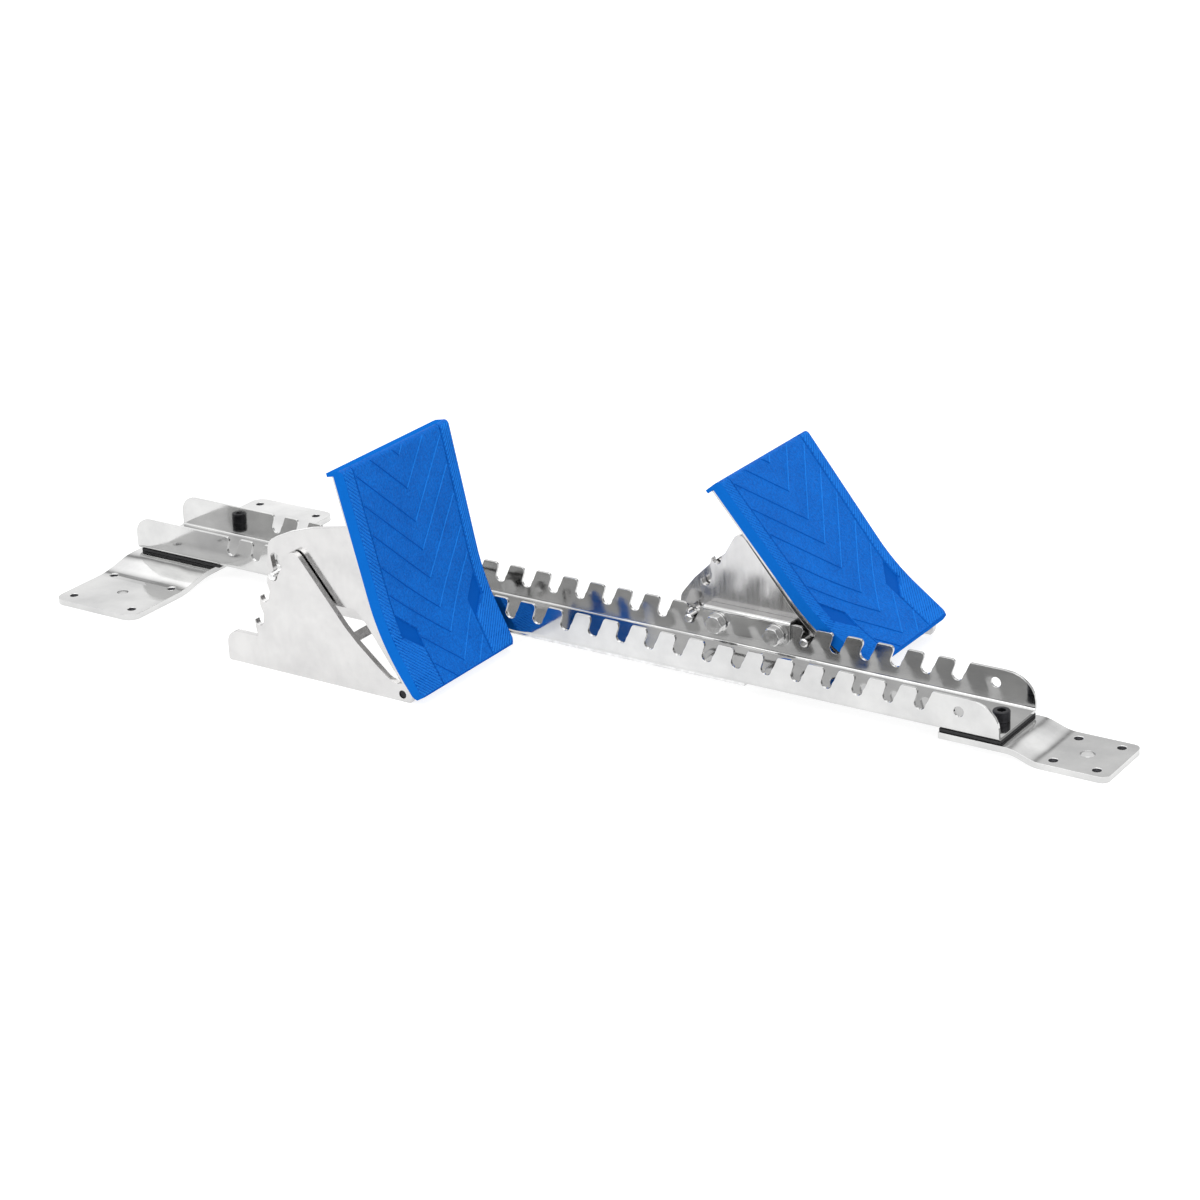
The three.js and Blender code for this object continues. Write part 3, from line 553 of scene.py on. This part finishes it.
def side_region():
    """Outline of the ribbed region outside the recess, on the side of positive across."""
    inner = [(RECESS[5][0] + RIB_MARGIN, TREAD_FOOT),
             (RECESS[6][0] + RIB_MARGIN, RECESS[6][1] - RIB_MARGIN),
             (RECESS[7][0] + RIB_MARGIN, RECESS[7][1] - RIB_MARGIN),
             (RECESS[8][0] + RIB_MARGIN, RECESS[8][1]),
             (RECESS[9][0] + RIB_MARGIN, BAR_END)]
    outer = [(float(face_half(s)) - EDGE_MARGIN, s)
             for s in (BAR_END, FACE_END, 120.0, 60.0, TOE_LENGTH, TREAD_FOOT)]
    return inner + outer


def centre_region():
    """Outline of one half of the tread between the recesses."""
    inner = [(RECESS[4][0] - RIB_MARGIN, TREAD_FOOT),
             (RECESS[3][0] - RIB_MARGIN, RECESS[3][1]),
             (RECESS[2][0] - RIB_MARGIN, RECESS[2][1] + RIB_MARGIN),
             (RECESS[1][0] - RIB_MARGIN, RECESS[1][1]),
             (RECESS[0][0] - RIB_MARGIN, BAR_END)]
    return inner + [(0.0, BAR_END), (0.0, TREAD_FOOT)]


def clipped(region, start, direction):
    """The pieces of a straight line that lie inside a region."""
    hits = []
    for (ax, ay), (bx, by) in zip(region, region[1:] + region[:1]):
        edge = (bx - ax, by - ay)
        cross = direction[0] * edge[1] - direction[1] * edge[0]
        if abs(cross) < 1e-9:
            continue
        t = ((ax - start[0]) * edge[1] - (ay - start[1]) * edge[0]) / cross
        u = ((ax - start[0]) * direction[1] - (ay - start[1]) * direction[0]) / cross
        if 0 <= u < 1:
            hits.append(t)
    hits.sort()
    return [(a, b) for a, b in zip(hits[::2], hits[1::2]) if b - a > SHORTEST_BAR]


def mirrored(pairs):
    return [[(-across, along) for across, along in pair] for pair in pairs]


def tread_lines():
    """Ribs of both sides, and each half's chevron lines, as pairs of (across, along) ends."""
    ribs = []
    region = side_region()
    offset = RIB_START
    while offset < PEDAL_LENGTH:
        for a, b in clipped(region, (0.0, offset), SLANT):
            ribs.append([(SLANT[0] * t, offset + SLANT[1] * t) for t in (a, b)])
        offset += RIB_PITCH
    lines = []
    region = centre_region()
    for apex in CHEVRON_APEXES:
        for a, b in clipped(region, (OFF_CENTRE, apex), SLANT):
            lines.append([(SLANT[0] * t, apex + SLANT[1] * t) for t in (a, b)])
    return ribs + mirrored(ribs), lines, mirrored(lines)


def node_tree(name, inputs):
    """An empty geometry nodes tree with these inputs and one geometry output."""
    tree = bpy.data.node_groups.new(name, "GeometryNodeTree")
    for label, kind in inputs:
        tree.interface.new_socket(label, in_out="INPUT", socket_type="NodeSocket" + kind)
    tree.interface.new_socket("Geometry", in_out="OUTPUT", socket_type="NodeSocketGeometry")
    return tree


def bar_tree():
    """Geometry nodes: a round bar of even thickness along every line."""
    tree = node_tree("tread_bars", (("Geometry", "Geometry"), ("Bar Radius", "Float"),
                                    ("Step", "Float"), ("Rubber", "Material")))
    nodes = tree.nodes
    source = nodes.new("NodeGroupInput")
    to_curve = nodes.new("GeometryNodeMeshToCurve")
    resample = nodes.new("GeometryNodeResampleCurve")
    resample.mode = "LENGTH"
    section = nodes.new("GeometryNodeCurvePrimitiveCircle")
    section.inputs["Resolution"].default_value = BAR_SIDES
    upright = nodes.new("GeometryNodeSetCurveNormal")
    upright.mode = "Z_UP"
    sweep = nodes.new("GeometryNodeCurveToMesh")
    sweep.inputs["Fill Caps"].default_value = True
    realize = nodes.new("GeometryNodeRealizeInstances")
    finish = nodes.new("GeometryNodeSetMaterial")
    result = nodes.new("NodeGroupOutput")
    for a, b in (
        (source.outputs["Geometry"], to_curve.inputs["Mesh"]),
        (to_curve.outputs["Curve"], resample.inputs["Curve"]),
        (source.outputs["Step"], resample.inputs["Length"]),
        (resample.outputs["Curve"], upright.inputs["Curve"]),
        (upright.outputs["Curve"], sweep.inputs["Curve"]),
        (source.outputs["Bar Radius"], section.inputs["Radius"]),
        (section.outputs["Curve"], sweep.inputs["Profile Curve"]),
        (sweep.outputs["Mesh"], realize.inputs["Geometry"]),
        (realize.outputs["Geometry"], finish.inputs["Geometry"]),
        (source.outputs["Rubber"], finish.inputs["Material"]),
        (finish.outputs["Geometry"], result.inputs["Geometry"]),
    ):
        tree.links.new(a, b)
    return tree


BAR_TREE = bar_tree()


def set_inputs(modifier, **values):
    """Values of a geometry nodes modifier by the names of its inputs."""
    for item in modifier.node_group.interface.items_tree:
        if item.in_out == "INPUT" and item.name.replace(" ", "_") in values:
            modifier[item.identifier] = values[item.name.replace(" ", "_")]


def bars_on_pedal(unit, name, lines, radius, sink, rubber):
    """Bars swept flat by the tree, then laid on the pedal's curved face."""
    points = [(across, along, 0.0) for pair in lines for across, along in pair]
    edges = [(i, i + 1) for i in range(0, len(points), 2)]
    base = bpy.data.meshes.new(name)
    base.from_pydata(points, edges, [])
    holder = bpy.data.objects.new(name + "_lines", base)
    bpy.context.scene.collection.objects.link(holder)
    modifier = holder.modifiers.new("bars", "NODES")
    modifier.node_group = BAR_TREE
    set_inputs(modifier, Bar_Radius=radius, Step=BAR_STEP, Rubber=rubber)
    graph = bpy.context.evaluated_depsgraph_get()
    mesh = bpy.data.meshes.new_from_object(holder.evaluated_get(graph))
    bpy.data.objects.remove(holder)
    flat = np.zeros(len(mesh.vertices) * 3)
    mesh.vertices.foreach_get("co", flat)
    flat = flat.reshape(-1, 3)
    up, depth = face_place(flat[:, 1])
    placed = place_on_pedal(unit, flat[:, 0], up, depth - sink + flat[:, 2])
    mesh.vertices.foreach_set("co", placed.ravel())
    mesh.materials.clear()
    mesh.materials.append(rubber)
    return finish_piece(mesh, name, BAR_SHARP)


def make_pedals():
    ribs, outward, inward = tread_lines()
    for unit in ("rear", "front"):
        # Ribs and the chevron half on the camera's right get the lighter blue of painted highlight,
        # the half on the camera's left the darker blue of painted shade, on both pedals
        lit, shaded = (inward, outward) if unit == "rear" else (outward, inward)
        pad = make_pad(unit)
        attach(pad, f"{unit}_pedal")
        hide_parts(f"{unit}_rubber_pad")
        for name, group, radius, sink, rubber in (
            ("ribs", ribs, RIB_RADIUS, RIB_SINK, PAINTED_LIGHT_BLUE),
            ("chevrons_lit", lit, LINE_RADIUS, LINE_SINK, PAINTED_LIGHT_BLUE),
            ("chevrons_shaded", shaded, LINE_RADIUS, LINE_SINK, PAINTED_SHADE_BLUE),
        ):
            bars = bars_on_pedal(unit, f"{unit}_tread_{name}", group, radius, sink, rubber)
            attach(bars, f"{unit}_pedal")


make_pedals()

# ---------------------------------------------------------------- painted shade in the spike holes
# Section of a dark sleeve of painted shade as radius and height, and the holes' places in X and Y
HOLE_SHADE_SECTION = [(1.75, 0.1), (1.75, 2.8), (3.45, 4.5), (3.35, 4.6), (1.55, 2.85), (1.55, 0.1)]
HOLE_SHADE_SIDES = 16
REAR_WING_X = -400.9
REAR_WING_Y = 95.5
FRONT_NOSE_X = 415.0
REAR_SPIKES = [(REAR_WING_X + x, side * REAR_WING_Y + y)
               for side in (-1, 1) for x in (-31.15, 31.15) for y in (-24.4, 24.4)]
FRONT_SPIKES = [(FRONT_NOSE_X + x, y) for x in (-16.65, 16.65) for y in (-20.9, 20.9)]


def hole_shade_mesh():
    """Thin dark sleeve with a flared mouth, for one hole: painted shade on the hole's wall."""
    points = []
    for i in range(HOLE_SHADE_SIDES):
        turn = 2 * math.pi * i / HOLE_SHADE_SIDES
        points += [(r * MM * math.cos(turn), r * MM * math.sin(turn), z * MM) for r, z in HOLE_SHADE_SECTION]
    count = len(HOLE_SHADE_SECTION)
    faces = []
    for i in range(HOLE_SHADE_SIDES):
        near, far = i * count, (i + 1) % HOLE_SHADE_SIDES * count
        for j in range(count):
            k = (j + 1) % count
            faces.append((near + j, far + j, far + k, near + k))
    mesh = bpy.data.meshes.new("hole_lining")
    mesh.from_pydata(points, [], faces)
    return mesh


def place_tree():
    """Geometry nodes: a copy of one piece at every point."""
    tree = node_tree("placed_copies", (("Geometry", "Geometry"), ("Piece", "Object"),
                                       ("Finish", "Material")))
    nodes = tree.nodes
    source = nodes.new("NodeGroupInput")
    piece = nodes.new("GeometryNodeObjectInfo")
    copies = nodes.new("GeometryNodeInstanceOnPoints")
    realize = nodes.new("GeometryNodeRealizeInstances")
    finish = nodes.new("GeometryNodeSetMaterial")
    result = nodes.new("NodeGroupOutput")
    for a, b in (
        (source.outputs["Geometry"], copies.inputs["Points"]),
        (source.outputs["Piece"], piece.inputs["Object"]),
        (piece.outputs["Geometry"], copies.inputs["Instance"]),
        (copies.outputs["Instances"], realize.inputs["Geometry"]),
        (realize.outputs["Geometry"], finish.inputs["Geometry"]),
        (source.outputs["Finish"], finish.inputs["Material"]),
        (finish.outputs["Geometry"], result.inputs["Geometry"]),
    ):
        tree.links.new(a, b)
    return tree


# Dark sleeves in the black oxide finish inside the spike holes: painted shade where the holes are
# in shadow
def make_hole_shades():
    single = bpy.data.objects.new("hole_lining", hole_shade_mesh())
    bpy.context.scene.collection.objects.link(single)
    base = bpy.data.meshes.new("spike_places")
    base.from_pydata([(x * MM, y * MM, 0) for x, y in REAR_SPIKES + FRONT_SPIKES], [], [])
    holder = bpy.data.objects.new("spike_places", base)
    bpy.context.scene.collection.objects.link(holder)
    modifier = holder.modifiers.new("copies", "NODES")
    modifier.node_group = place_tree()
    set_inputs(modifier, Piece=single, Finish=FINISHES["black_steel"])
    graph = bpy.context.evaluated_depsgraph_get()
    mesh = bpy.data.meshes.new_from_object(holder.evaluated_get(graph))
    for helper in (holder, single):
        bpy.data.objects.remove(helper)
    mesh.materials.clear()
    mesh.materials.append(FINISHES["black_steel"])
    hole_shades = finish_piece(mesh, "spike_hole_linings", FORM_SHARP)
    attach(hole_shades, "rail")


make_hole_shades()


# ---------------------------------------------------------------- floor, light and sky
FLOOR_REACH = 12.0
FLOOR_GLOW = 0.8


def make_floor():
    """Sheet that gives off light of its own, so that it is white and nearly without shadow."""
    mesh = bpy.data.meshes.new("studio_floor")
    signs = ((-1, -1), (1, -1), (1, 1), (-1, 1))
    corners = [(x * FLOOR_REACH, y * FLOOR_REACH, 0) for x, y in signs]
    mesh.from_pydata(corners, [], [(0, 1, 2, 3)])
    floor = bpy.data.objects.new("studio_floor", mesh)
    bpy.context.scene.collection.objects.link(floor)
    finish = Finish("studio_paper")
    finish.set(Roughness=0.9, Emission_Strength=FLOOR_GLOW)
    finish.color(finish.span(finish.noise(3, 2, 0.5), 0, 1), (0.34, 0.34, 0.34), (0.36, 0.36, 0.36))
    mesh.materials.append(finish.material)


LIGHT_DISTANCE = 3


def make_light(name, towards, strength, spread):
    """Broad even light that comes from one direction."""
    data = bpy.data.lights.new(name, "SUN")
    data.energy = strength
    data.angle = math.radians(spread)
    light = bpy.data.objects.new(name, data)
    light.location = Vector(towards) * LIGHT_DISTANCE
    light.rotation_euler = Vector(towards).to_track_quat("Z", "Y").to_euler()
    bpy.context.scene.collection.objects.link(light)


# Brightness of the sky by the height of the direction, from level (0) to straight up (1)
SKY_LOWEST = 0.95
SKY_HIGHEST = 1.0
SKY_LEVELS = ((0.22, 1.1), (0.36, 0.98), (0.45, 0.92), (0.51, 0.32), (0.57, 1.3), (0.64, 1.9),
              (0.74, 1.1))
SKY_STRENGTH = 1.1
CLOUD_SCALE = 3.4


def make_sky():
    """Sky with a dark band about 30 degrees up and a bright one above it, dimmer towards +X."""
    world = bpy.data.worlds.new("studio_sky")
    bpy.context.scene.world = world
    world.use_nodes = True
    tree = world.node_tree
    place = tree.nodes.new("ShaderNodeTexCoord")
    split = tree.nodes.new("ShaderNodeSeparateXYZ")
    ramp = tree.nodes.new("ShaderNodeValToRGB")
    cloud = tree.nodes.new("ShaderNodeTexNoise")
    cloud.inputs["Scale"].default_value = CLOUD_SCALE
    cloud.inputs["Detail"].default_value = 1.0
    side = tree.nodes.new("ShaderNodeMapRange")
    set_range(side, 0.1, 0.6, 1.0, 0.45)
    dim = tree.nodes.new("ShaderNodeMath")
    dim.operation = "MULTIPLY"
    shade = tree.nodes.new("ShaderNodeMapRange")
    set_range(shade, 0.35, 0.65, 0.78, 1.2)
    darken = tree.nodes.new("ShaderNodeVectorMath")
    darken.operation = "SCALE"
    for source, target in (
        (place.outputs["Generated"], split.inputs["Vector"]),
        (place.outputs["Generated"], cloud.inputs["Vector"]),
        (split.outputs["Z"], ramp.inputs["Fac"]),
        (cloud.outputs["Fac"], shade.inputs["Value"]),
        (split.outputs["X"], side.inputs["Value"]),
        (shade.outputs["Result"], dim.inputs[0]),
        (side.outputs["Result"], dim.inputs[1]),
        (ramp.outputs["Color"], darken.inputs[0]),
        (dim.outputs["Value"], darken.inputs["Scale"]),
        (darken.outputs["Vector"], tree.nodes["Background"].inputs["Color"]),
    ):
        tree.links.new(source, target)
    stops = ramp.color_ramp.elements
    stops[0].position, stops[0].color = 0.0, (SKY_LOWEST, SKY_LOWEST, SKY_LOWEST, 1)
    stops[1].position, stops[1].color = 1.0, (SKY_HIGHEST, SKY_HIGHEST, SKY_HIGHEST, 1)
    for position, level in SKY_LEVELS:
        stop = stops.new(position)
        stop.color = (level, level, level, 1)
    tree.nodes["Background"].inputs["Strength"].default_value = SKY_STRENGTH


make_floor()
make_sky()
make_light("overhead_softbox", (0.0, -0.40, 0.90), 1.0, 60)
make_light("front_fill", (0.80, -0.15, 0.55), 0.8, 60)
bpy.context.scene.view_settings.view_transform = "Standard"
